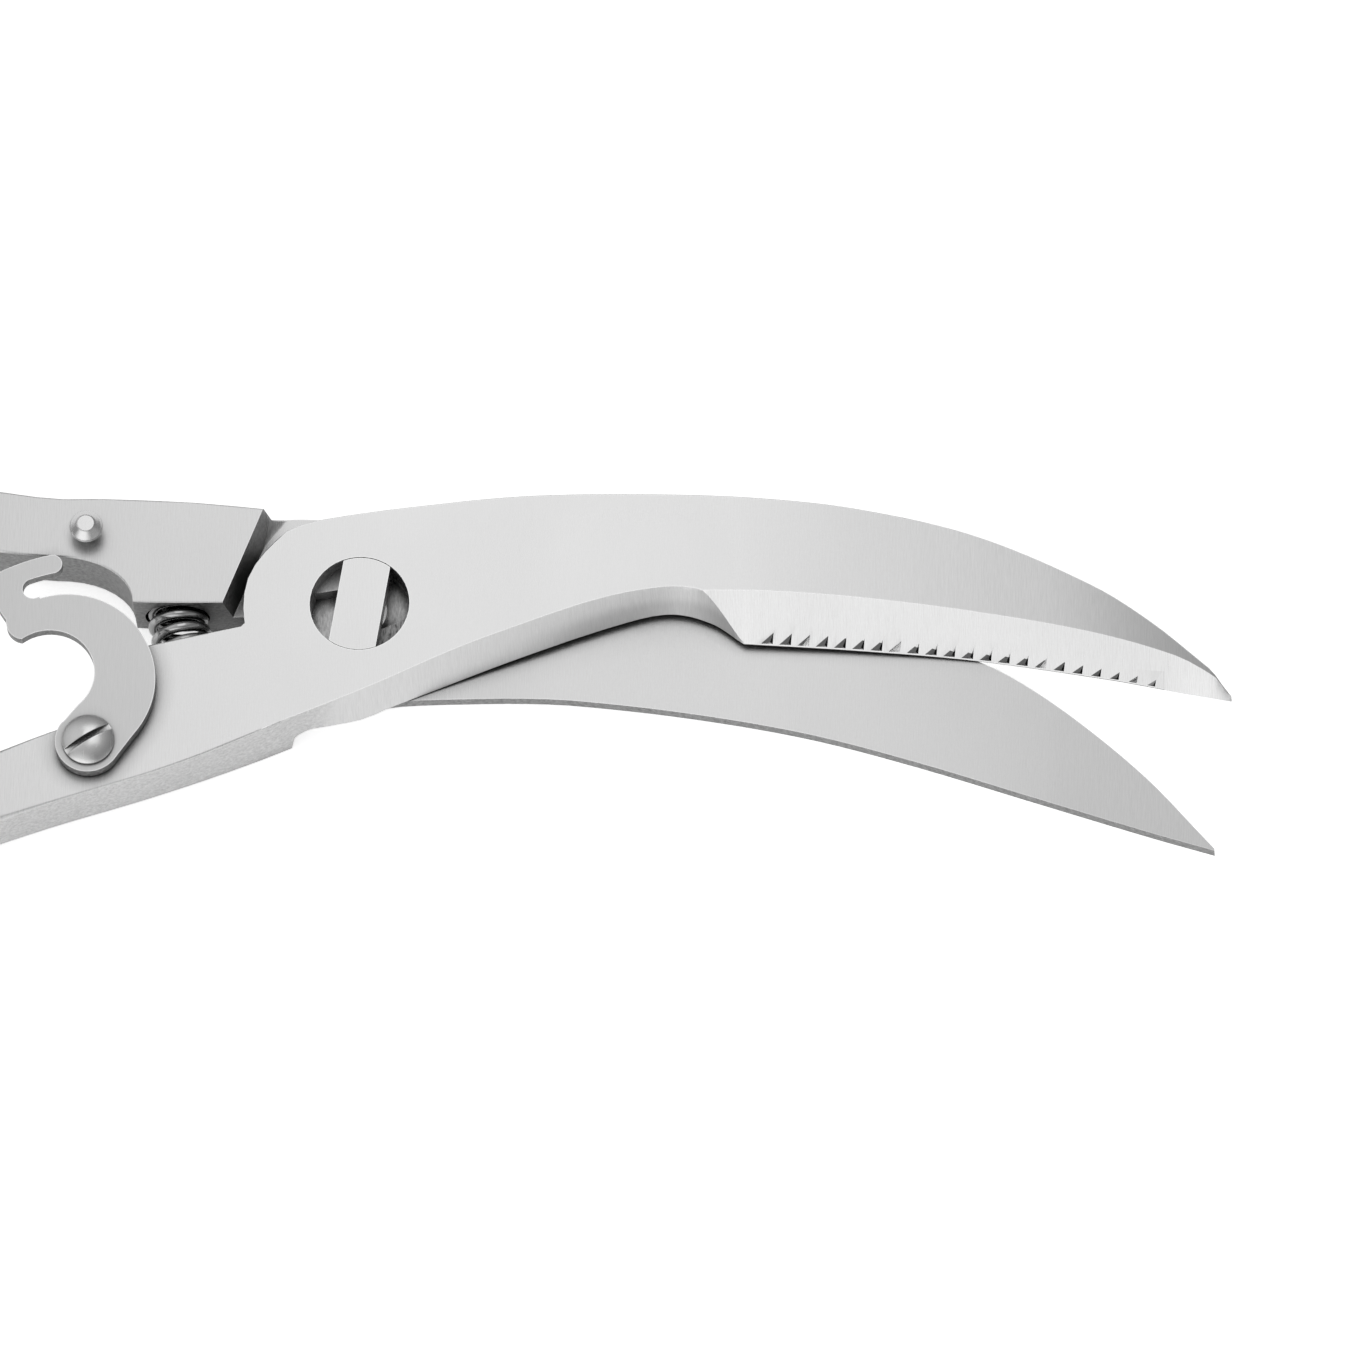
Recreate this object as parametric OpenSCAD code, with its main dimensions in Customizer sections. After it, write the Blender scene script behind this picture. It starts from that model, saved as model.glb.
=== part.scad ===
// Take-apart poultry shears: two forged halves crossing at a half-lap pivot, a coil spring between the
// handles, and a hook latch that holds the handles shut.
// Frame: the pivot axis is Z. The back face lies on Z = 0, the blades point along +X, and the shears stand
// part open, as they rest on a bench. All sizes are in millimetres.

/* [Body] */
// Thickness of the shears, back face to front face
body_t = 9.6; // [9.2:0.1:10]
// Running gap between the two halves at the half-lap
lap_gap = 0.05; // [0.02:0.01:0.1]
// Radius of each half's round boss at the pivot
boss_r = 14; // [13.8:0.1:14]
// Small flat broken along the sharp edges
edge_break = 0.15; // [0.1:0.05:0.2]
// How far the shoulder wall leans out from the free face to the lap
shoulder_lean = 1; // [0.6:0.1:1]

/* [Handles] */
// Angle from the drawn pose to the closed pose
closed_angle = 11.4; // [11:0.1:11.5]
// Corner radius of the grips
grip_r = 3; // [2:0.25:3.5]
// Distance from the pivot to the end of the handles
handle_l = 140; // [136:1:144]

/* [Blades] */
// Number of saw grooves in the upper blade
teeth = 22; // [12:1:22]
// Distance from one saw groove to the next
tooth_pitch = 2.19; // [2:0.01:2.19]
// Height of a saw groove above the cutting edge
tooth_h = 1.25; // [1:0.05:1.4]
// Gap that the lower blade's set leaves between the blades, behind the point where they cross
blade_set = 1; // [0.2:0.1:1.2]
// Thickness of the spine of the lower blade
spine_t = 1.75; // [1.6:0.05:2.2]

/* [Pivot] */
// Diameter of the recess that the bar head sits in
recess_d = 12; // [11.6:0.1:12.4]
// Depth of the recess
recess_depth = 2.6; // [2.2:0.1:2.8]
// Width of the bar head
bar_w = 5.7; // [5.2:0.1:5.9]
// Diameter of the stud's round neck
neck_d = 6.3; // [6:0.1:6.4]
// Direction of the bar head
bar_angle = 81.6; // [80:0.2:83]

/* [Spring] */
// Distance from the pivot to the spring's bore in the back half
spring_x = 22.2; // [22:0.1:22.3]
// How much nearer the pivot the front half's bore is
spring_step = 0.7; // [0.6:0.1:0.9]
// Wire diameter
wire_d = 1.25; // [1.1:0.05:1.25]
// Mean diameter of the coil
coil_d = 6.2; // [5.9:0.1:6.2]
// Diameter of the blind bores that hold the spring
spring_bore_d = 7.8; // [7.7:0.1:7.9]
// Depth of each blind bore
spring_bore_depth = 7.3; // [6.3:0.5:7.3]
// Number of turns
turns = 10.3; // [8.8:0.5:10.3]

/* [Latch] */
// Thickness of the latch plate
latch_t = 1.5; // [1.2:0.1:1.6]
// Angle that the latch turns through from the drawn pose to lock
lock_angle = 14; // [13:0.5:15]
// Diameter of the latch screw's shoulder
shoulder_d = 3.9; // [3.7:0.1:4]
// Diameter of the latch screw's head
screw_head_d = 6.3; // [6:0.1:6.6]
// Width of the slot in the screw's head
screw_slot = 0.75; // [0.6:0.05:0.9]
// Diameter of the catch stud's neck
catch_neck_d = 2.2; // [2:0.1:2.2]
// Diameter of the catch stud's head
catch_head_d = 4; // [3.8:0.1:4.4]

/* [Hidden] */

lap_z = body_t / 2;
front_lap_z = lap_z + lap_gap;
run_gap = 0.05;           // radial clearance of every shaft that turns in a hole
tiny = 0.02;
past = 1;                 // how far a cutting body runs past the face it cuts

steel = [0.78, 0.78, 0.79];
bright_steel = [0.85, 0.85, 0.86];
spring_steel = [0.35, 0.35, 0.37];

// Each handle is drawn along its own axis, which runs left from the pivot and falls at this angle
front_tilt = 12.8;
back_tilt = 1.8;

// ---- Curves -------------------------------------------------------------------------------------------

function turn2(p, a) = [p[0] * cos(a) - p[1] * sin(a), p[0] * sin(a) + p[1] * cos(a)];
function mix(a, b, t) = a + (b - a) * t;
function ease(x, x0, x1) = let (t = min(1, max(0, (x - x0) / (x1 - x0)))) t * t * (3 - 2 * t);

// Cubic curve through pts, a list of [x, y] with x rising: its value at x
function span(pts, x, i = 0) = (i >= len(pts) - 2 || x < pts[i + 1][0]) ? i : span(pts, x, i + 1);
function rise(pts, i) =
    let (a = max(0, i - 1), b = min(len(pts) - 1, i + 1)) (pts[b][1] - pts[a][1]) / (pts[b][0] - pts[a][0]);
function curve(pts, x) =
    let (i = span(pts, x), p = pts[i], q = pts[i + 1], w = q[0] - p[0], t = (x - p[0]) / w)
    (2 * t ^ 3 - 3 * t ^ 2 + 1) * p[1] + (t ^ 3 - 2 * t ^ 2 + t) * w * rise(pts, i)
    + (3 * t ^ 2 - 2 * t ^ 3) * q[1] + (t ^ 3 - t ^ 2) * w * rise(pts, i + 1);

// Closed solid through a row of loops that have the same number of points. Each loop runs anticlockwise
// when it is seen from the row's far end.
module loft(loops) {
    n = len(loops);
    m = len(loops[0]);
    points = [for (loop = loops) each loop];
    sides = [for (i = [0:n - 2], j = [0:m - 1])
                let (a = i * m + j, b = i * m + (j + 1) % m)
                each [[b, a, a + m], [b + m, b, a + m]]];
    first = [for (j = [0:m - 1]) j];
    last = [for (j = [m - 1:-1:0]) (n - 1) * m + j];
    polyhedron(points, concat(sides, [first, last]), convexity = 10);
}

// ---- Handles ------------------------------------------------------------------------------------------
// s is the distance from the pivot along the handle's axis, and the offset is the distance from the axis
// to the handle's inner or outer edge. The two axes all but meet when the handles are closed.

FRONT = -1;               // side of the front half's handle
BACK = 1;                 // side of the back half's handle

// Plan position of a handle point, in the drawn pose
function handle_point(side, s, offset) =
    turn2([-s, side * offset], side == BACK ? back_tilt : front_tilt);

// The bone notch is a quarter ellipse: start, end and height, with the flat's offset at its start
notch = [[25.96, 37.5, 8.1, -0.36], [27.28, 37, 6.25, 0.96]];
function notch_of(side) = notch[side == BACK ? 1 : 0];

grip_inner = [[55, 10.3], [65, 12], [80, 13.3], [95, 12.6], [110, 9.6], [122, 6.9], [132, 5.8], [144, 7]];
grip_outer = [[65, 20.5], [80, 22.3], [95, 21.9], [110, 19.2], [122, 16.4], [132, 15.2], [144, 16.8]];
front_outer = concat([[8, 12], [12, 12.88], [26, 15.5], [43, 17.2]], grip_outer);
back_outer = concat([[8, 12.3], [11.5, 12.67], [19.3, 13.7], [30.7, 14.57], [38, 14.95]], grip_outer);

function outer_offset(side, s) = curve(side == BACK ? back_outer : front_outer, s);
function flat_offset(side, s) = side == BACK ? 0.1 + s * sin(back_tilt) : -0.36;
function inner_offset(side, s) =
    let (k = notch_of(side), a = k[1] - k[0])
    s < k[0] ? flat_offset(side, s)
    : s < k[1] ? k[3] + k[2] * sqrt(max(0, 1 - ((k[1] - s) / a) ^ 2))
    : let (crest = k[3] + k[2])
      curve(concat([[k[1] - 4, crest - 0.2], [k[1], crest], [45, crest + 1.1]], grip_inner), s);

// Stations along the inner edge: the shoulder, the flat, the notch and the grip
shoulder_s = 16.5;
shoulder_skew = 5;        // the shoulder meets the outer edge this much nearer the pivot
function inner_stations(side) =
    let (k = notch_of(side), a = k[1] - k[0])
    concat([shoulder_s, 20, 24, k[0] - 0.6, k[0]], [for (f = [8:9:89]) k[1] - a * cos(f)],
           [for (s = [39.5:2.5:handle_l - 6]) s]);
function outer_station(s) = s - shoulder_skew * (1 - ease(s, shoulder_s, 47));

// Corner radii of a handle at its front face and at its back face: both grow from the shoulder to the grip
crisp_r = 0.25;
function corner_radii(s) =
    [mix(crisp_r, grip_r, ease(s, 40, 70)), mix(mix(crisp_r, 2, ease(s, 17, 31)), grip_r, ease(s, 36, 60))];

// One loop of a handle. lean slants the loop, so that the far end of a shoulder's wall leans outwards.
CORNER_STEPS = 4;
function handle_loop(side, s_in, s_out, radii, lean = 0, narrow = 1, shift = 0) =
    let (free_z = side == BACK ? body_t : 0,
         a0 = handle_point(side, s_in, inner_offset(side, s_in)),
         b0 = handle_point(side, s_out, outer_offset(side, s_out)),
         w = norm(b0 - a0) * narrow,
         h = body_t * mix(0.75, 1, narrow))
    [for (c = [[1, 1, 0], [0, 1, 90], [0, 0, 180], [1, 0, 270]], k = [0:CORNER_STEPS])
        let (turn = c[2] + 90 * k / CORNER_STEPS,
             r = radii[1 - c[1]],
             u = (c[0] == 1 ? w - r : r) + r * cos(turn),
             z = (body_t - h) / 2 + (c[1] == 1 ? h - r : r) + r * sin(turn),
             ds = lean * abs(z - free_z) / lap_z - shift,
             a = handle_point(side, s_in - ds, inner_offset(side, s_in - ds)),
             b = handle_point(side, s_out - ds, outer_offset(side, s_out - ds)),
             p = mix(a, b, 0.5 + (u - w / 2) / norm(b0 - a0)))
        [p[0], p[1], z]];

// The back half's loops run the other way round, because its handle lies on the other side of the line
function reversed(loop) = [for (i = [len(loop) - 1:-1:0]) loop[i]];

module handle(side) {
    stations = inner_stations(side);
    s_end = handle_l - 6;
    body = [for (i = [0:len(stations) - 1])
        let (s = stations[i])
        handle_loop(side, s, outer_station(s), corner_radii(s), i == 0 ? shoulder_lean : 0)];
    dome = [for (f = [15:15:75])
        let (r = min(grip_r, 4.4 * cos(f)))
        handle_loop(side, s_end, s_end, [r, r], 0, cos(f), 6 * sin(f))];
    loft([for (loop = concat(body, dome)) side == BACK ? reversed(loop) : loop]);
}

// ---- Blades -------------------------------------------------------------------------------------------

// Upper blade: back outline, upper lines of the bone bevel and the saw bevel, and the cutting edge
top_line = [[-5, 10.85], [-1.7, 11.45], [4.9, 12.4], [18.9, 13.9], [33, 14.2], [47, 13.75], [60, 12.3],
            [74, 9], [88, 2.95], [95, -1.55], [101.4, -6.8], [102.5, -7.8], [103.7, -9.4],
            [104.7, -10.6]];
bone_line = [[-8.8, -15.1], [1.3, -10.7], [11.9, -5.7], [18.9, -2.9], [26, -0.25], [31.3, 1.3], [36.5, 2.15],
             [39.2, 2.15], [40.2, 2.02], [41.2, 1.72]];
saw_line = [[41.2, 1.72], [48.9, 1.65], [60, 0.9], [74, -0.75], [88, -3.1], [98, -5.9], [102.1, -8.1],
            [104.8, -10.05]];
bone_edge = [[-8.8, -15.25], [-7.5, -14.65], [-6, -14.4], [-4.8, -14.2], [-2.4, -13.75], [0.3, -13.15],
             [2.2, -12.35], [4, -11.45], [6.1, -10.6], [18.9, -5.3], [31.3, -0.8], [37.2, 0.44], [42.2, -0.8],
             [46, -3.4]];
saw_edge = [[46, -3.4], [60, -4.3], [74, -5.6], [89.8, -8], [98.6, -9.7], [104.8, -10.85]];
ridge_line = [[41.2, 1.67], [42, 1.07], [43.4, -0.35], [44.8, -1.98], [45.9, -3.2], [46.1, -3.35]];
blade_l = 104.7;
notch_end = 46;           // where the bone bevel gives way to the saw bevel
ridge_start = 41.2;
bevel_slope = 0.94;       // drop of the saw bevel for each millimetre towards the edge

function upper_face_z(x) = body_t - 2.6 * max(0, (x - 45) / 60) ^ 1.6 - ease(x, 102, 106);
function cut_edge(x) = x < notch_end ? curve(bone_edge, x) : curve(saw_edge, x);
function bevel_line(x) = x < ridge_start ? curve(bone_line, x) : curve(saw_line, x);
// Middle point of the bevel: on a straight bevel, or on the ridge between the two bevels
function bevel_middle(x) =
    let (v = bevel_line(x), c = cut_edge(x), z = upper_face_z(x), drop = z - front_lap_z - edge_break,
         y = curve(ridge_line, x),
         f = x < ridge_start ? mix(0.5, 0.03, ease(x, 36, ridge_start))
             : mix(0.97, 0.5, ease(x, notch_end, 52)))
    x > ridge_start && x < notch_end ? [x, y, z - bevel_slope * (v - y)] : [x, mix(v, c, f), z - drop * f];

function upper_blade_loop(x) =
    let (t = curve(top_line, x), z = upper_face_z(x), e = cut_edge(x),
         v = max(min(bevel_line(x), t - 0.3), e + 0.05))
    [[x, t, front_lap_z], [x, t, z - edge_break], [x, t - edge_break, z], [x, v, z],
     bevel_middle(x), [x, e, front_lap_z + edge_break], [x, e, front_lap_z]];

// Loop of a flat plate with upright walls, across the plan from point p to point q
function plate_loop(p, q, z0, z1) =
    let (d = (q - p) / norm(q - p) * edge_break, m = q - d)
    [[p[0], p[1], z0], [p[0], p[1], z1 - edge_break], [p[0] + d[0], p[1] + d[1], z1], [m[0], m[1], z1],
     [q[0], q[1], z1 - edge_break], [q[0], q[1], (z0 + z1) / 2], [q[0], q[1], z0]];

function front_flat(s) = handle_point(FRONT, s, flat_offset(FRONT, s));
function front_rim(s) = handle_point(FRONT, s, outer_offset(FRONT, s));
function on_boss(a) = boss_r * [cos(a), sin(a)];

// Loop of the upper blade's plate from its back at point p to its cutting edge at point q
function bevelled_loop(p, q) =
    let (v = [q[0], max(curve(bone_line, q[0]), q[1] + edge_break)], d = (v - p) / norm(v - p) * edge_break,
         m = mix(v, q, 0.5))
    [[p[0], p[1], front_lap_z], [p[0], p[1], body_t - edge_break], [p[0] + d[0], p[1] + d[1], body_t],
     [v[0], v[1], body_t], [m[0], m[1], (front_lap_z + body_t) / 2],
     [q[0], q[1], front_lap_z + edge_break], [q[0], q[1], front_lap_z]];

// The boss is drawn as a fan of loops that turn about the pivot
boss_corner = [-7.2, 10.25];
function on_front_boss(a) = (1 - 0.07 * ease(-a, -172, -134)) * on_boss(a);
front_root = [for (s = [[18.5, 14.6], [16.4, 13.6], [14.5, 12.6]]) [front_flat(s[0]), front_rim(s[1])]];
front_fan = concat([for (i = [0:7]) [on_front_boss(mix(190, 134, i / 7)), mix(-8.6, -4.6, i / 7)]],
                   [[boss_corner, -4]]);
upper_stations = concat([for (x = [5:1.5:36.6]) x], [for (x = [37.5:0.62:46]) x], [46.02],
                        [for (x = [47:1.5:101]) x], [102, 102.8, 103.5, 104.2, blade_l]);
// Between the boss and the blade the loops swing from slanted to square across
front_swing = [[-5, -3], [-3.2, -1.4], [-1.4, 0.2], [0.8, 1.8], [2.8, 3.4]];

module upper_plate() {
    root = [for (p = front_root) plate_loop(p[0], p[1], front_lap_z, body_t)];
    swing = [for (p = front_swing) [[p[0], curve(top_line, p[0])], p[1]]];
    fan = [for (p = concat(front_fan, swing)) bevelled_loop(p[0], [p[1], curve(bone_edge, p[1])])];
    loft(concat(root, fan, [for (x = upper_stations) upper_blade_loop(x)]));
}

// One saw groove: a three-sided pit in the saw bevel, with a steep wall towards the tip. It stops just short
// of the cutting edge.
groove_w = 1.4;
groove_land = 0.12;
first_tooth = 49.5;
function on_saw_bevel(x, up) =
    let (e = cut_edge(x), t = up / (bevel_line(x) - e))
    [x, e + up, mix(front_lap_z + edge_break, upper_face_z(x), t)];

module saw_groove(x) {
    size = mix(1, 0.66, ease(x, 78, 98));     // the grooves get smaller towards the tip
    mouth = [on_saw_bevel(x + 0.15, tooth_h * size), on_saw_bevel(x - groove_w * size, groove_land),
             on_saw_bevel(x, groove_land)];
    root = on_saw_bevel(x - 0.35 * size, 0.42 * size) - [0, 0, 0.42 * size];
    corners = [root, for (p = mouth) root + 1.6 * (p - root)];
    polyhedron(corners, [[0, 1, 2], [0, 2, 3], [0, 3, 1], [1, 3, 2]]);
}

// Lower blade: cutting edge, spine, and the bevels on its hidden back
lower_top = [[-10, 12.8], [-5, 12.7], [5, 11.2], [15, 10.3], [30, 7.9], [45, 4.6], [60, -0.2], [75, -5.9],
             [81, -9.4], [88.1, -14.8], [95.1, -21.1], [101.1, -27.7], [103, -29.8]];
lower_spine = [[-7, -11.65], [-2, -11.25], [3, -10.9], [8, -10.6], [12, -10.5], [19, -10.4], [26, -10.7],
               [40, -12.4], [54, -15], [67, -18.6], [81, -23.1], [95, -27.6], [103, -30]];
lower_l = 102.9;
function lower_back_z(x) = mix(0, 1.9, ease(x, 14, 60)) + mix(0, 1.1, ease(x, 60, lower_l));
function lower_face_z(x) = lap_z - blade_set * ease(x, 4, 24) * (1 - ease(x, 38, 86));
function lower_blade_loop(x) =
    let (face_z = lower_face_z(x), z = lower_back_z(x), t = curve(lower_top, x),
         s = curve(lower_spine, x) + 0.4 * (lap_z - face_z), w = t - s,
         spine = mix(lap_z, spine_t, ease(x, -4, 4)),
         foot = mix(edge_break, min(4, 0.3 * w), ease(x, -2, 14)),
         hone = mix(edge_break, min(6, 0.45 * w), ease(x, 4, 30)),
         land = mix(0.8, edge_break, ease(x, 4, 30)))
    [[x, s, face_z], [x, s, max(z, face_z - spine) + (x < -4 ? edge_break : 0)], [x, s + foot, z],
     [x, t - hone, z], [x, t - hone / 2, mix(z, face_z - land, 0.5)], [x, t, face_z - land], [x, t, face_z]];

function back_flat(s) = handle_point(BACK, s, flat_offset(BACK, s));
function back_rim(s) = handle_point(BACK, s, outer_offset(BACK, s));
back_fan = concat(
    [for (s = [[18.5, 14.4], [16.4, 13.2], [14, 12.2]]) [back_flat(s[0]), back_rim(s[1])]],
    [for (i = [0:6]) [on_boss(mix(182, 238, i / 6)), [mix(-11, -9.4, i / 6), 12.72]]]);
back_swing = [[-8.6, -6], [-7, -4.4], [-5, -2.6], [-2.6, -0.8], [-0.2, 1.2], [2.6, 3.2]];
lower_stations = concat([for (x = [5:2.5:72]) x], [for (x = [73.5:1.5:100.5]) x], [101.4, lower_l]);

// The plate loops are drawn for an upper face, so the lower plate's are turned over about the lap
function turned_over(loop) = [for (p = loop) [p[0], p[1], lap_z - p[2]]];

module lower_plate() {
    fan = [for (p = back_fan) turned_over(plate_loop(p[0], p[1], 0, lap_z))];
    swing = [for (p = back_swing)
        let (a = lower_blade_loop(p[1]), b = lower_blade_loop(p[0]))
        [for (j = [0:6]) j < 3 ? a[j] : b[j]]];
    loft(concat(fan, swing, [for (x = lower_stations) lower_blade_loop(x)]));
}

// Fillet in the corner between a half's shoulder and its lap face. It is full at the rim and dies away where
// the other half's boss passes close by.
fillet_sizes = [[3.1, 4.3], [2, 3]];      // width and height at the rim: front half, back half
module shoulder_fillet(side) {
    full = fillet_sizes[side == BACK ? 1 : 0];
    face_z = side == BACK ? lap_z : front_lap_z;
    rim = handle_point(side, 10.5, outer_offset(side, 10.5));
    flat = handle_point(side, 15.5, flat_offset(side, 15.5));
    end_x = rim[0] + full[0];
    rim_end = [end_x, side == BACK ? curve(lower_top, end_x) - 0.1 : curve(bone_edge, end_x) + 0.1];
    inward = turn2([2, -0.8 * side], side == BACK ? back_tilt : front_tilt);
    slant = shoulder_lean / lap_z;
    loft([for (f = [0:0.05:0.5])
        let (size = max(0.02, (1 - 2 * f) ^ 3), w = full[0] * size, h = full[1] * size,
             corner = mix(rim, flat, f),
             along = mix(rim_end - rim, inward, f), d = along / norm(along))
        [for (p = concat([[-0.8, -0.3], [w, -0.3]],
                         [for (a = [0:15:90]) [w - (w + slant * h) * sin(a), h - h * cos(a)]],
                         [[-0.8 - slant * h, h]]))
            [corner[0] + d[0] * p[0], corner[1] + d[1] * p[0], face_z + side * p[1]]]]);
}

// ---- The two halves -----------------------------------------------------------------------------------

spring_mouth = [handle_point(FRONT, spring_x - spring_step, flat_offset(FRONT, spring_x)),
                [-spring_x, flat_offset(BACK, 0)]];
latch_pivot = [-32, -18.4];
catch_point = [-33, 9.05];
screw_d = 3;
screw_depth = 6;
catch_depth = 5;
shank_d = 6;              // pivot stud, where it is riveted into the back half
recess_z = body_t - recess_depth;
neck_hole_d = neck_d + 2 * run_gap;
// Plans of the two openings in the recess floor, which let the bar head out when it lies along them
openings = [[[0, 0], [-2.6, 2.81], [-7, 2.04], [-7, -6.65], [1.29, -2.65]],
            [[0, 0], [1.5, -2.83], [7, -0.18], [7, 6.65], [-1.29, 2.65]]];

module sector(r, a0, a1) {
    far = 2 * r;
    mid = (a0 + a1) / 2;
    intersection() {
        circle(r, $fn = 96);
        polygon([[0, 0], far * [cos(a0), sin(a0)], far * [cos(mid), sin(mid)], far * [cos(a1), sin(a1)]]);
    }
}

module front_half() {
    color(steel)
    difference() {
        union() {
            handle(FRONT);
            upper_plate();
            shoulder_fillet(FRONT);
        }
        translate([0, 0, recess_z]) cylinder(h = recess_depth + past, d = recess_d, $fn = 96);
        translate([0, 0, front_lap_z - past]) cylinder(h = body_t, d = neck_hole_d, $fn = 96);
        for (opening = openings)
            translate([0, 0, front_lap_z - past]) linear_extrude(recess_z - front_lap_z + 2 * past)
                intersection() {
                    circle(recess_d / 2, $fn = 96);
                    polygon(opening);
                }
        translate([spring_mouth[0][0], spring_mouth[0][1], lap_z]) rotate([90, 0, front_tilt])
            translate([0, 0, -past]) cylinder(h = spring_bore_depth + past, d = spring_bore_d, $fn = 64);
        translate([latch_pivot[0], latch_pivot[1], body_t - screw_depth])
            cylinder(h = screw_depth + past, d = screw_d + tiny, $fn = 48);
        for (i = [0:teeth - 1]) saw_groove(first_tooth + i * tooth_pitch);
    }
}

module back_half() {
    color(steel)
    difference() {
        union() {
            handle(BACK);
            lower_plate();
            shoulder_fillet(BACK);
        }
        translate([0, 0, -past]) cylinder(h = body_t, d = shank_d + tiny, $fn = 96);
        translate([spring_mouth[1][0], spring_mouth[1][1], lap_z]) rotate([-90, 0, 0])
            translate([0, 0, -past]) cylinder(h = spring_bore_depth + past, d = spring_bore_d, $fn = 64);
        translate([catch_point[0], catch_point[1], body_t - catch_depth])
            cylinder(h = catch_depth + past, d = catch_neck_d + tiny, $fn = 48);
    }
}

// ---- Pivot stud ---------------------------------------------------------------------------------------

module pivot_stud() {
    head_z = recess_z + 0.1;
    head_r = recess_d / 2 - 0.08;
    color(bright_steel)
    union() {
        cylinder(h = lap_z + tiny, d = shank_d, $fn = 96);
        translate([0, 0, lap_z]) cylinder(h = head_z - lap_z + tiny, d = neck_d, $fn = 96);
        intersection() {
            translate([0, 0, head_z]) cylinder(h = body_t - head_z - run_gap, r = head_r, $fn = 96);
            rotate(bar_angle) translate([-recess_d, -bar_w / 2, 0]) cube([2 * recess_d, bar_w, 2 * body_t]);
        }
    }
}

// ---- Spring -------------------------------------------------------------------------------------------
// The coil's axis runs straight along each bore, and between them it follows an arc about the pivot.

WIRE_SIDES = 6;
TURN_STEPS = 16;
seat_gap = 0.2;

function heading_of(p) = atan2(p[1], p[0]);
arc_angle = heading_of(spring_mouth[0]) + 360 - heading_of(spring_mouth[1]);
arc_l = arc_angle / 180 * PI * spring_x;
function spring_heading(u) = mix(0, arc_angle, min(1, max(0, u / arc_l)));
function spring_axis(u) =
    u <= 0 ? spring_mouth[1] - [0, u]
    : u >= arc_l ? spring_mouth[0] + turn2([0, arc_l - u], arc_angle)
    : turn2(spring_mouth[1], spring_heading(u)) * (1 - spring_step / spring_x * u / arc_l);

module handle_spring() {
    reach = spring_bore_depth - wire_d / 2 - seat_gap;
    steps = turns * TURN_STEPS;
    color(spring_steel)
    loft([for (i = [0:steps])
        let (u = mix(-reach, arc_l + reach, i / steps), a = 360 * i / TURN_STEPS,
             h = spring_heading(u), c = spring_axis(u), side = turn2([1, 0], h), along = turn2([0, -1], h))
        [for (k = [0:WIRE_SIDES - 1])
            let (w = 360 * k / WIRE_SIDES, out = coil_d / 2 + wire_d / 2 * cos(w), up = wire_d / 2 * sin(w))
            [c[0] + side[0] * out * cos(a) + along[0] * up, c[1] + side[1] * out * cos(a) + along[1] * up,
             lap_z + out * sin(a)]]]);
}

// ---- Latch --------------------------------------------------------------------------------------------
// The latch turns on its screw. Its plan is drawn about the screw, in the drawn pose.

washer_t = 0.3;
latch_z = body_t + washer_t;
eye_r = 4;
ring_centre = [-3.1, 7.7];
ring_r = 10.95;
window_centre = [-5, 8.7];
window_r = 5.5;
arm_inner = norm(window_centre + [0, window_r]);
crown_centre = polar(8.8, 110);
crown_r = 10.6;
finger_tip = 99.2;         // direction of the finger's tip from the screw
finger_r = [22.1, 24.5];
thumb_angle = 118;        // direction of the latch's thumb end

// Where the catch stud stands when the handles are closed, seen from the latch screw
closed_catch = turn2(catch_point, closed_angle) - latch_pivot;
slot_r = norm(closed_catch);
slot_w = 2 * (finger_r[0] - slot_r);
slot_end = heading_of(closed_catch) + lock_angle + 0.3;

function polar(r, a) = r * [cos(a), sin(a)];

module band(r0, r1, a0, a1) {
    difference() {
        sector(r1, a0, a1);
        circle(r0, $fn = 96);
    }
}

module latch_plan() {
    window_low = -48;         // where the window's rim leaves its circle, seen from the window's centre
    flank = heading_of(-ring_centre) + acos((ring_r - eye_r) / norm(ring_centre));   // eye's side of the ring
    foot_angle = 142;         // where the arm's inner edge runs into the eye, seen from the screw
    thumb_r = 2.2;
    difference() {
        union() {
            circle(eye_r, $fn = 96);
            polygon([[0, 0], polar(eye_r - tiny, flank), ring_centre + polar(ring_r - tiny, flank),
                     ring_centre]);
            intersection() {
                union() {
                    translate(ring_centre) circle(ring_r, $fn = 128);
                    translate(crown_centre) circle(crown_r, $fn = 128);
                }
                translate([-7, -2 * ring_r]) square(4 * ring_r);
            }
            band(arm_inner, finger_r[1], slot_end + 0.5, thumb_angle);
            band(arm_inner, slot_r, 109, thumb_angle);
            band(finger_r[0], finger_r[1], finger_tip + 3, slot_end + 1);
            translate(polar(mix(finger_r[0], finger_r[1], 0.5), finger_tip + 3.1))
                circle((finger_r[1] - finger_r[0]) / 2, $fn = 48);
            for (r = [arm_inner + thumb_r, finger_r[1] - thumb_r])
                translate(polar(r, thumb_angle)) circle(thumb_r, $fn = 48);
            band(arm_inner + thumb_r, finger_r[1] - thumb_r, thumb_angle - 1, thumb_angle + 5.6);
        }
        translate(window_centre) circle(window_r, $fn = 96);
        intersection() {
            circle(arm_inner, $fn = 96);
            polygon([window_centre + [-0.2, window_r + 2], window_centre,
                     window_centre + polar(window_r, window_low), polar(eye_r - 0.1, foot_angle),
                     [-25, 2], [-25, 18]]);
        }
        band(eye_r, arm_inner, foot_angle - 1, 250);
        band(slot_r - slot_w / 2, finger_r[0], 90, slot_end);
        translate(polar(slot_r, slot_end)) circle(slot_w / 2, $fn = 48);
    }
}

module latch_hook() {
    color(steel)
    translate([latch_pivot[0], latch_pivot[1], latch_z])
    difference() {
        linear_extrude(latch_t) latch_plan();
        translate([0, 0, -past]) cylinder(h = latch_t + 2 * past, d = shoulder_d + 2 * run_gap, $fn = 64);
    }
}

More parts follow.
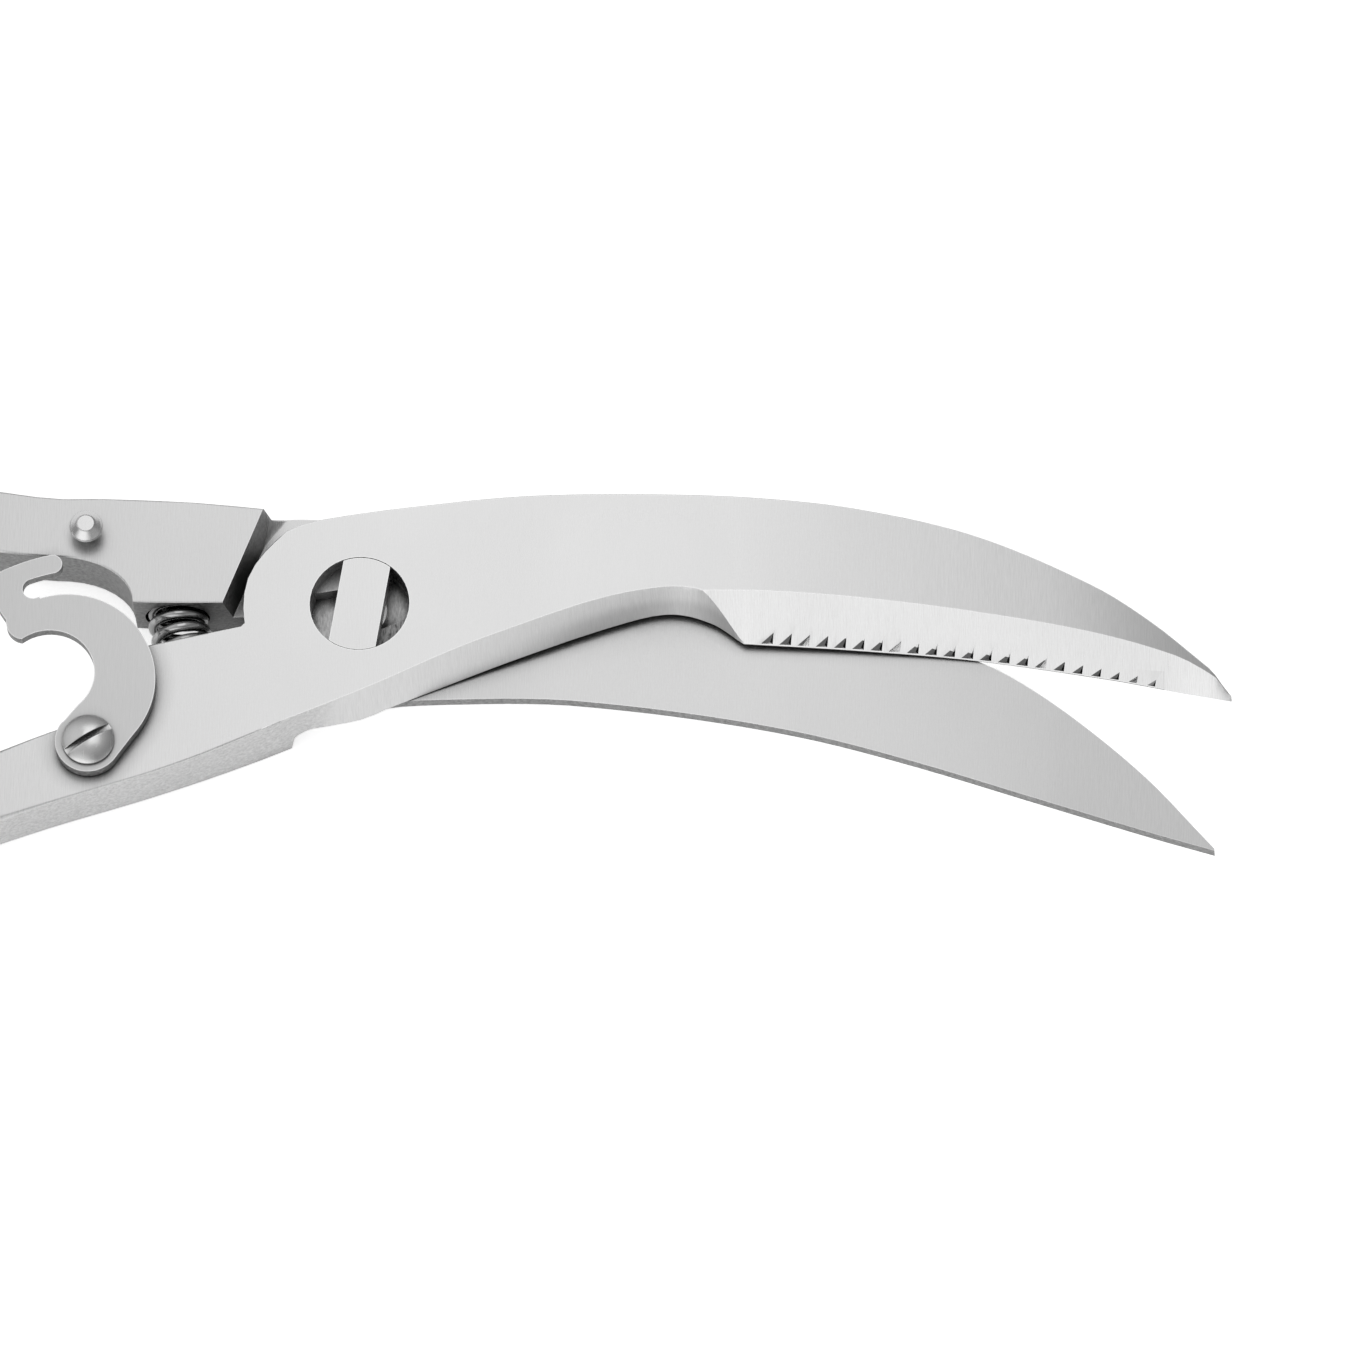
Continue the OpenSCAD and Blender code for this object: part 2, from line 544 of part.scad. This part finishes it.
module latch_washer() {
    color(bright_steel)
    translate([latch_pivot[0], latch_pivot[1], body_t])
    difference() {
        cylinder(h = washer_t, r = eye_r - 0.7, $fn = 64);
        translate([0, 0, -past]) cylinder(h = washer_t + 2 * past, d = shoulder_d + 2 * run_gap, $fn = 64);
    }
}

module latch_screw() {
    head_z = latch_z + latch_t + 0.03;
    head_h = 1.3;
    dome_r = 6.2;
    slot_angle = 32;
    slot_depth = 0.95;    // a little more than the dome's rise, so the slot runs right across
    color(bright_steel)
    translate([latch_pivot[0], latch_pivot[1], 0])
    difference() {
        union() {
            translate([0, 0, body_t - screw_depth + 0.3]) cylinder(h = screw_depth, d = screw_d, $fn = 48);
            translate([0, 0, body_t]) cylinder(h = head_z - body_t + tiny, d = shoulder_d, $fn = 64);
            intersection() {
                translate([0, 0, head_z]) cylinder(h = head_h + past, d = screw_head_d, $fn = 64);
                translate([0, 0, head_z + head_h - dome_r]) sphere(dome_r, $fn = 96);
            }
        }
        rotate(slot_angle) translate([-screw_head_d, -screw_slot / 2, head_z + head_h - slot_depth])
            cube([2 * screw_head_d, screw_slot, 2]);
    }
}

module catch_stud() {
    head_z = latch_z + latch_t + 0.15;
    rim_h = 0.5;
    color(bright_steel)
    translate([catch_point[0], catch_point[1], 0])
    union() {
        translate([0, 0, body_t - catch_depth + 0.1])
            cylinder(h = head_z - body_t + catch_depth, d = catch_neck_d, $fn = 48);
        translate([0, 0, head_z]) cylinder(h = rim_h, d = catch_head_d, $fn = 48);
        translate([0, 0, head_z + rim_h]) cylinder(h = 0.9, d1 = catch_head_d, d2 = 2.1, $fn = 48);
    }
}

front_half();
back_half();
pivot_stud();
handle_spring();
latch_hook();
latch_washer();
latch_screw();
catch_stud();
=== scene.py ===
"""Looks of the take-apart poultry shears: ground and blasted steel, a polished coil spring and a studio."""

import math
import bpy
from mathutils import Matrix, Vector


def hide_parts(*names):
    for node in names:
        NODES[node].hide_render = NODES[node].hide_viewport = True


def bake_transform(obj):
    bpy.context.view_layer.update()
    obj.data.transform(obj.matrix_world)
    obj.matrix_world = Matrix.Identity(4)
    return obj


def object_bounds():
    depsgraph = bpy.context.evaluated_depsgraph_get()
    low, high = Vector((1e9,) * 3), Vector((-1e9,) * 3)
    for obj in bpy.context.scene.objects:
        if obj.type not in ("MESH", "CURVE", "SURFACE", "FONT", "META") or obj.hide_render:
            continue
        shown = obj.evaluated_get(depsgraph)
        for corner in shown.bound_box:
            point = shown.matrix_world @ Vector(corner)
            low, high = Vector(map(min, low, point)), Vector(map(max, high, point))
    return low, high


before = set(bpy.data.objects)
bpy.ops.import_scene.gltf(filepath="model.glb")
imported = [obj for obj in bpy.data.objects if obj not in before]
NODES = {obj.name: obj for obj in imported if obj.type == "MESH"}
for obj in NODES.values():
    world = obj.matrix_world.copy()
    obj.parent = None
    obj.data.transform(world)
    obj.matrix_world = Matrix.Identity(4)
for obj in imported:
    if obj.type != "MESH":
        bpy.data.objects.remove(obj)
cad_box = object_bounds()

MM = 0.001
FACE_Z = 9.6      # height of the ground front face over the back face, in mm
SPRING_Z = 4.8    # height of the spring's axis, halfway through the thickness, in mm


# ---- Node trees ------------------------------------------------------------------------------------------

class Tree:
    """Short calls for building a node tree."""

    def __init__(self, tree):
        tree.nodes.clear()
        self.tree = tree

    def node(self, kind, inputs=None, **settings):
        made = self.tree.nodes.new(kind)
        for key, value in settings.items():
            setattr(made, key, value)
        for key, value in (inputs or {}).items():
            if isinstance(value, bpy.types.NodeSocket):
                self.tree.links.new(value, made.inputs[key])
            else:
                made.inputs[key].default_value = value
        return made

    def math(self, operation, a, b=0.0, c=0.0, clamp=False):
        made = self.node("ShaderNodeMath", {0: a, 1: b, 2: c}, operation=operation, use_clamp=clamp)
        return made.outputs[0]

    def vector(self, operation, a, b=(0.0, 0.0, 0.0)):
        made = self.node("ShaderNodeVectorMath", {0: a, 1: b}, operation=operation)
        return made.outputs["Value" if operation in ("DOT_PRODUCT", "LENGTH") else "Vector"]

    def ramp(self, value, low, high, to_low=0.0, to_high=1.0, smooth=True):
        kind = "SMOOTHSTEP" if smooth else "LINEAR"
        made = self.node("ShaderNodeMapRange", {0: value, 1: low, 2: high, 3: to_low, 4: to_high},
                         interpolation_type=kind)
        return made.outputs[0]

    def stretched(self, coords, per_mm):
        """Coordinates scaled so that one unit is 1 / per_mm millimetres along each axis."""
        scale = tuple(s / MM for s in per_mm)
        return self.vector("MULTIPLY", coords, scale)

    def noise(self, coords, detail=2.0, rough=0.5):
        made = self.node("ShaderNodeTexNoise", {"Vector": coords, "Scale": 1.0, "Detail": detail,
                                                "Roughness": rough})
        return made.outputs["Fac"]

    def grey(self, value):
        made = self.node("ShaderNodeCombineColor", {0: value, 1: value, 2: value})
        return made.outputs[0]

    def mix(self, fac, a, b):
        return self.math("MULTIPLY_ADD", self.math("SUBTRACT", b, a), fac, a)

    def local_normal(self, world_normal):
        return self.node("ShaderNodeVectorTransform", {0: world_normal}, vector_type="NORMAL",
                         convert_from="WORLD", convert_to="OBJECT").outputs[0]


def steel(name, tone, rough, grain=1.0, speckle=2.2, polish_highlight_strength=1.0, blasted_walls=False, crevice_shade=0.7,
          reach=1.6, wall_shade=1.0, parts=()):
    """A steel with ground grain across its faces, blasted speckle on its walls, painted shade in creases and
    recesses, and a painted highlight along its sharp edges.

    tone and rough are the face's colour and roughness; the walls' colour is tone times a wall factor, a
    painted shade.
    grain, speckle, the edge polish with its painted highlight, and the painted shade in creases are given as
    strengths.
    reach is how near, in mm, something has to be for shade to be painted there. parts are more places of
    painted shade.
    """
    material = bpy.data.materials.new(name)
    material.use_nodes = True
    t = Tree(material.node_tree)
    coords = t.node("ShaderNodeTexCoord").outputs["Object"]
    geometry = t.node("ShaderNodeNewGeometry")
    local = t.local_normal(geometry.outputs["Normal"])
    flat_normal = t.local_normal(geometry.outputs["True Normal"])
    facing = t.math("ABSOLUTE", t.vector("DOT_PRODUCT", local, (0.0, 0.0, 1.0)))
    face = t.ramp(facing, 0.12, 0.32)

    wall_speckle = speckle if blasted_walls else 0.35 * speckle
    pattern = ground_and_blasted(t, coords, facing, face, grain, wall_speckle)
    centred = t.math("SUBTRACT", pattern, 0.5)
    edge = t.math("MULTIPLY", polished_highlit_edges(t, geometry), polish_highlight_strength)
    open_air = t.node("ShaderNodeAmbientOcclusion", {"Distance": reach * MM}, samples=4).outputs["AO"]
    # painted shade: the colour is darkened where ambient occlusion finds something near, in creases,
    # recesses and between parts
    painted_shade = t.math("MULTIPLY", t.ramp(open_air, 0.92, 0.35), t.mix(face, 0.6 * crevice_shade, crevice_shade))
    for part in parts:
        painted_shade = t.math("MAXIMUM", painted_shade, part(t, coords, flat_normal))

    cloud = t.noise(t.stretched(coords, (0.07, 0.05, 0.07)), 2.0, 0.5)
    # painted shade: walls, which face neither up nor down, get the face tone times the wall factor
    shade = t.math("MULTIPLY_ADD", centred, 0.34, t.mix(face, tone * wall_shade, tone))
    shade = t.math("MULTIPLY_ADD", t.math("SUBTRACT", cloud, 0.5), 0.05, shade)
    # painted highlight: sharp edges are lightened in colour
    shade = t.math("MULTIPLY_ADD", edge, 0.12, shade)
    # the colour is darkened by all the painted shade
    shade = t.math("MULTIPLY", shade, t.math("SUBTRACT", 1.0, painted_shade), clamp=True)
    wall_rough = 0.12 if blasted_walls else 0.0
    roughness = t.math("MULTIPLY_ADD", centred, 0.3, rough)
    roughness = t.math("MULTIPLY_ADD", edge, -0.1, roughness)
    roughness = t.math("ADD", roughness, t.ramp(face, 0.0, 1.0, wall_rough, 0.0), clamp=True)
    bump = t.node("ShaderNodeBump", {"Strength": 0.22, "Distance": 0.012 * MM, "Height": pattern}).outputs[0]
    body = t.node("ShaderNodeBsdfPrincipled", {"Base Color": t.grey(shade), "Metallic": 1.0,
                                               "Roughness": roughness, "Normal": bump})
    t.node("ShaderNodeOutputMaterial", {"Surface": body.outputs[0]})
    return material


def ground_and_blasted(t, coords, facing, face, grain, speckle):
    """Fine streaks across the faces, stronger on the saw bevel, and an even speckle on the walls."""
    fine = t.noise(t.stretched(coords, (8.0, 0.5, 0.5)), 3.0, 0.65)
    coarse = t.noise(t.stretched(coords, (1.6, 0.08, 0.08)), 2.0, 0.5)
    streak = t.mix(0.15, fine, coarse)
    blast = t.noise(t.stretched(coords, (2.2, 2.2, 2.2)), 3.0, 0.7)
    saw_bevel = t.math("MULTIPLY", t.ramp(facing, 0.90, 0.82), t.ramp(facing, 0.60, 0.68))
    streaks = t.math("MULTIPLY", t.math("SUBTRACT", streak, 0.5), t.mix(saw_bevel, grain, 2.2 * grain))
    return t.mix(face, t.math("MULTIPLY_ADD", t.math("SUBTRACT", blast, 0.5), speckle, 0.5),
                 t.math("ADD", streaks, 0.5))


def polished_highlit_edges(t, geometry):
    """1 along sharp edges, where handling polishes the steel, and 0 elsewhere: there the roughness drops for
    the polish and the colour is lightened, a painted highlight.
    """
    rounded = t.node("ShaderNodeBevel", {"Radius": 0.22 * MM}, samples=3).outputs[0]
    turn = t.vector("DOT_PRODUCT", rounded, geometry.outputs["Normal"])
    return t.ramp(turn, 0.985, 0.86)


# ---- Painted shade: each gives 0 where nothing is painted and up to 1 where the steel is painted black ----

def split(t, vector):
    return t.node("ShaderNodeSeparateXYZ", {0: vector}).outputs


def pivot_recess_shade(t, coords, normal):
    """Painted shade on everything inside the pivot's round recess, below the face: streaky, and on the
    higher floor darker towards the right.
    """
    x, y, z = split(t, coords)
    radius = t.vector("LENGTH", t.node("ShaderNodeCombineXYZ", {0: x, 1: y}).outputs[0])
    inside = t.ramp(radius, 6.25 * MM, 6.05 * MM)
    deep = t.ramp(z, 9.45 * MM, 9.0 * MM)
    streaks = t.ramp(t.noise(t.stretched(coords, (5.0, 1.2, 1.2)), 3.0, 0.7), 0.3, 0.7, 0.35, 0.0)
    # painted shade: the recess floor above 6.4 mm is painted lighter on the left and darker towards the
    # right
    floor = t.math("MULTIPLY", t.ramp(z, 6.0 * MM, 6.4 * MM), t.ramp(x, -1.5 * MM, 2.5 * MM, -0.1, 0.42))
    well_shade = t.math("ADD", t.math("ADD", streaks, floor), 0.15)
    return t.math("MULTIPLY", t.math("MULTIPLY", inside, deep), well_shade)


def saw_groove_shade(t, coords, normal):
    """Painted shade inside the saw grooves, found by their flanks facing along the blade, which the saw
    bevel never does; the right flanks are painted darker than the left.
    """
    x, y = split(t, coords)[:2]
    near_edge = t.math("LESS_THAN", t.math("MULTIPLY_ADD", x, 0.115, y), 3.65 * MM)
    along = t.math("MULTIPLY", t.math("GREATER_THAN", x, 46.8 * MM), t.math("LESS_THAN", x, 96.6 * MM))
    nx = split(t, normal)[0]
    # painted shade: left flanks darkened up to 0.85, right flanks up to 0.97
    left = t.ramp(nx, 0.10, 0.18, 0.0, 0.85)
    right = t.ramp(nx, -0.10, -0.18, 0.0, 0.97)
    return t.math("MULTIPLY", t.math("MULTIPLY", near_edge, along), t.math("MAXIMUM", left, right))


def hollow_grind_shade(t, coords, normal):
    """Painted shade on the hollow-ground bone bevel: darker along its edge, darkest where it meets the saw
    bevel.
    """
    x, _, z = split(t, coords)
    nx, _, nz = split(t, normal)
    bevel = t.math("MULTIPLY", t.ramp(nz, 0.70, 0.66), t.ramp(nz, 0.12, 0.2))
    place = t.math("MULTIPLY", t.ramp(x, 18 * MM, 30 * MM), t.math("LESS_THAN", x, 47 * MM))
    # painted shade: darker lower down on the bevel and where the bevel turns to face -x
    low = t.ramp(z, 8.2 * MM, 6.4 * MM, 0.0, 0.16)
    turned_away_shade = t.ramp(nx, -0.05, -0.45, 0.0, 0.22)
    return t.math("MULTIPLY", t.math("MULTIPLY", bevel, place), t.math("ADD", low, turned_away_shade))


def tip_shade(start, end, amount):
    """The flat face falls away from the light towards the tip."""
    def part(t, coords, normal):
        face = t.ramp(split(t, normal)[2], 0.9, 0.97)
        return t.math("MULTIPLY", face, t.ramp(split(t, coords)[0], start * MM, end * MM, 0.0, amount))
    return part


def dress(node, material):
    for slot in NODES[node].material_slots:
        slot.material = material


# ---- Edges of the CAD pieces -----------------------------------------------------------------------------

def finish_edges(obj, width, segments=2, angle=30.0):
    """Joins the split mesh, rounds its sharp edges a little and shades the rest smooth."""
    weld = obj.modifiers.new("join", "WELD")
    weld.merge_threshold = 0.0008 * MM
    flat = obj.modifiers.new("flatten", "DECIMATE")
    flat.decimate_type = "DISSOLVE"
    flat.angle_limit = math.radians(0.2)
    bevel = obj.modifiers.new("edge_break", "BEVEL")
    bevel.width = width
    bevel.segments = segments
    bevel.limit_method = "ANGLE"
    bevel.angle_limit = math.radians(angle)
    bevel.miter_outer = "MITER_ARC"
    bevel.use_clamp_overlap = True
    smooth = obj.modifiers.new("shade", "WEIGHTED_NORMAL")
    smooth.keep_sharp = False
    smooth.weight = 100


# ---- Spring ----------------------------------------------------------------------------------------------

def tube(name, path, radius, sides):
    """A round wire with domed ends along path, a list of (point, across, along) in metres."""
    verts, faces = [], []
    for point, across, up in path:
        for k in range(sides):
            a = 2 * math.pi * k / sides
            verts.append(point + radius * (across * math.cos(a) + up * math.sin(a)))
    for i in range(len(path) - 1):
        for k in range(sides):
            a, b = i * sides + k, i * sides + (k + 1) % sides
            faces.append((a, b, b + sides, a + sides))
    faces.append(tuple(range(sides - 1, -1, -1)))
    faces.append(tuple(range(len(verts) - sides, len(verts))))
    mesh = bpy.data.meshes.new(name)
    mesh.from_pydata(verts, [], faces)
    mesh.validate()
    mesh.shade_smooth()
    made = bpy.data.objects.new(name, mesh)
    bpy.context.scene.collection.objects.link(made)
    return made


def coil_spring():
    """The coil between the handles: straight inside each bore, on an arc about the pivot between them."""
    back_mouth, front_mouth = Vector((-22.2, 0.1)), Vector((-21.05, -4.41))
    reach, coil_r, wire_r, turns, per_turn = 6.475, 3.1, 0.625, 10.3, 40
    start = math.atan2(back_mouth.y, back_mouth.x)
    swept = math.atan2(front_mouth.y, front_mouth.x) + 2 * math.pi - start
    arc = swept * (back_mouth.length + front_mouth.length) / 2

    def on_axis(u):
        """Centre of the coil and its heading at a distance u past the back bore's mouth."""
        if u <= 0:
            return back_mouth - Vector((0, u)), 0.0
        if u >= arc:
            return front_mouth + Matrix.Rotation(swept, 2) @ Vector((0, arc - u)), swept
        turned = swept * u / arc
        length = back_mouth.length + (front_mouth.length - back_mouth.length) * u / arc
        return length * Vector((math.cos(start + turned), math.sin(start + turned))), turned

    path = []
    steps = int(turns * per_turn)
    for i in range(steps + 1):
        centre, heading = on_axis(-reach + (arc + 2 * reach) * i / steps)
        a = 2 * math.pi * i / per_turn
        side = Vector((math.cos(heading), math.sin(heading), 0))
        along = Vector((math.sin(heading), -math.cos(heading), 0))
        out = side * math.cos(a) + Vector((0, 0, 1)) * math.sin(a)
        point = (Vector((centre.x, centre.y, SPRING_Z)) + coil_r * out) * MM
        path.append((point, out, along))
    spring = tube("coil_spring", path, wire_r * MM, 12)
    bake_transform(spring)
    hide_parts("handle_spring")
    return spring


# ---- Studio ----------------------------------------------------------------------------------------------

def studio_world():
    """A pale dome with bright patches: overhead, low in front, high on the left, low on the right."""
    world = bpy.data.worlds.new("studio")
    world.use_nodes = True
    t = Tree(world.node_tree)
    direction = t.node("ShaderNodeTexCoord").outputs["Generated"]
    total = 0.25
    for toward, inner, outer, power in (
        ((-0.20, 0.38, 0.90), 10, 60, 0.32),
        ((-0.35, -0.85, 0.45), 8, 48, 1.05),
        ((-0.72, 0.35, 0.60), 10, 45, 0.20),
        ((0.75, -0.60, 0.25), 10, 45, 0.18),
    ):
        dot = t.vector("DOT_PRODUCT", direction, tuple(Vector(toward).normalized()))
        lobe = t.ramp(dot, math.cos(math.radians(outer)), math.cos(math.radians(inner)))
        total = t.math("MULTIPLY_ADD", lobe, power, total)
    seen = t.node("ShaderNodeLightPath").outputs["Is Camera Ray"]
    strength = t.mix(seen, total, 1.0)
    sky = t.node("ShaderNodeBackground", {"Color": (1.0, 1.0, 1.0, 1.0), "Strength": strength})
    t.node("ShaderNodeOutputWorld", {"Surface": sky.outputs[0]})
    bpy.context.scene.world = world


def studio_floor():
    size = 40.0
    mesh = bpy.data.meshes.new("floor")
    mesh.from_pydata([(-size, -size, 0), (size, -size, 0), (size, size, 0), (-size, size, 0)], [],
                     [(0, 1, 2, 3)])
    floor = bpy.data.objects.new("floor", mesh)
    floor.location.z = cad_box[0].z - 0.05 * MM
    bpy.context.scene.collection.objects.link(floor)
    material = bpy.data.materials.new("floor_paper")
    material.use_nodes = True
    t = Tree(material.node_tree)
    paper = t.node("ShaderNodeBsdfDiffuse", {"Color": (0.9, 0.9, 0.9, 1.0)})
    path = t.node("ShaderNodeLightPath")
    strength = t.math("MULTIPLY_ADD", path.outputs["Is Camera Ray"], 0.7,
                      t.math("MULTIPLY", path.outputs["Is Glossy Ray"], 0.3))
    glow = t.node("ShaderNodeEmission", {"Color": (1.0, 1.0, 1.0, 1.0), "Strength": strength})
    both = t.node("ShaderNodeAddShader", {0: paper.outputs[0], 1: glow.outputs[0]})
    t.node("ShaderNodeOutputMaterial", {"Surface": both.outputs[0]})
    mesh.materials.append(material)


def area_light(name, place, aim, size, energy, mirrored=True):
    lamp = bpy.data.lights.new(name, "AREA")
    lamp.shape = "RECTANGLE"
    lamp.size, lamp.size_y = size
    lamp.energy = energy
    made = bpy.data.objects.new(name, lamp)
    made.location = Vector(place)
    made.rotation_mode = "QUATERNION"
    made.rotation_quaternion = (Vector(aim) - made.location).to_track_quat("-Z", "Y")
    made.visible_camera = False
    made.visible_glossy = mirrored
    bpy.context.scene.collection.objects.link(made)


def camera():
    """The product view: from in front and a little to the right, looking down at the shears."""
    tilt, swing = math.radians(21.7), math.radians(3.5)
    back = Vector((math.sin(swing) * math.cos(tilt), -math.sin(tilt), math.cos(swing) * math.cos(tilt)))
    right = (Vector((1, 0, 0)) - back.x * back).normalized()
    up = back.cross(right)
    right_of_pivot, below_pivot, shown_width = 37.86 * MM, 8.604 * MM, 162 * MM
    target = Vector((0, 0, cad_box[0].z + FACE_Z * MM)) + right_of_pivot * right - below_pivot * up
    lens = bpy.data.cameras.new("camera")
    lens.lens = 800.0
    lens.sensor_width = 36.0
    distance = shown_width * lens.lens / lens.sensor_width
    lens.clip_start, lens.clip_end = 0.1, 100.0
    eye = bpy.data.objects.new("camera", lens)
    turn = Matrix((right, up, back)).transposed()
    eye.matrix_world = Matrix.Translation(target + back * distance) @ turn.to_4x4()
    bpy.context.scene.collection.objects.link(eye)
    bpy.context.scene.camera = eye


# ---- Dressing --------------------------------------------------------------------------------------------

front_steel = steel("satin_steel", 0.77, 0.40, blasted_walls=True, crevice_shade=0.8, reach=2.6, wall_shade=0.93,
                    parts=(pivot_recess_shade, saw_groove_shade, hollow_grind_shade, tip_shade(80.0, 103.0, 0.36)))
back_steel = steel("satin_steel_back", 0.70, 0.40, blasted_walls=True, crevice_shade=0.95, reach=2.0,
                   wall_shade=0.48, parts=(pivot_recess_shade, tip_shade(30.0, 100.0, 0.09)))
latch_steel = steel("latch_steel", 0.61, 0.38, grain=0.5, polish_highlight_strength=2.0, wall_shade=0.5, blasted_walls=True)
pivot_steel = steel("pivot_steel", 0.70, 0.34)
fastener = steel("fastener_steel", 0.68, 0.26, grain=0.25, speckle=0.3, crevice_shade=0.95)
wire = steel("spring_steel", 0.50, 0.16, grain=0.2, speckle=0.2, polish_highlight_strength=0.2, crevice_shade=0.9)
coil_spring().data.materials.append(wire)
dress("front_half", front_steel)
dress("back_half", back_steel)
dress("pivot_stud", pivot_steel)
dress("latch_hook", latch_steel)
dress("latch_washer", fastener)
dress("latch_screw", fastener)
dress("catch_stud", fastener)
dress("handle_spring", wire)
for node_name, edge_width in (("front_half", 0.06), ("back_half", 0.06), ("pivot_stud", 0.03),
                              ("latch_hook", 0.25), ("latch_washer", 0.05), ("latch_screw", 0.10),
                              ("catch_stud", 0.12)):
    finish_edges(NODES[node_name], edge_width * MM)

studio_world()
studio_floor()
area_light("softbox", place=(0.0, 0.13, 0.30), aim=(0.03, 0.0, 0.0), size=(0.16, 0.28), energy=0.097)
area_light("key", place=(-0.45, 0.55, 0.85), aim=(0.0, 0.0, 0.0), size=(0.45, 0.45), energy=1.0,
           mirrored=False)
camera()
bpy.context.scene.view_settings.view_transform = "Standard"
bpy.context.scene.view_settings.look = "None"
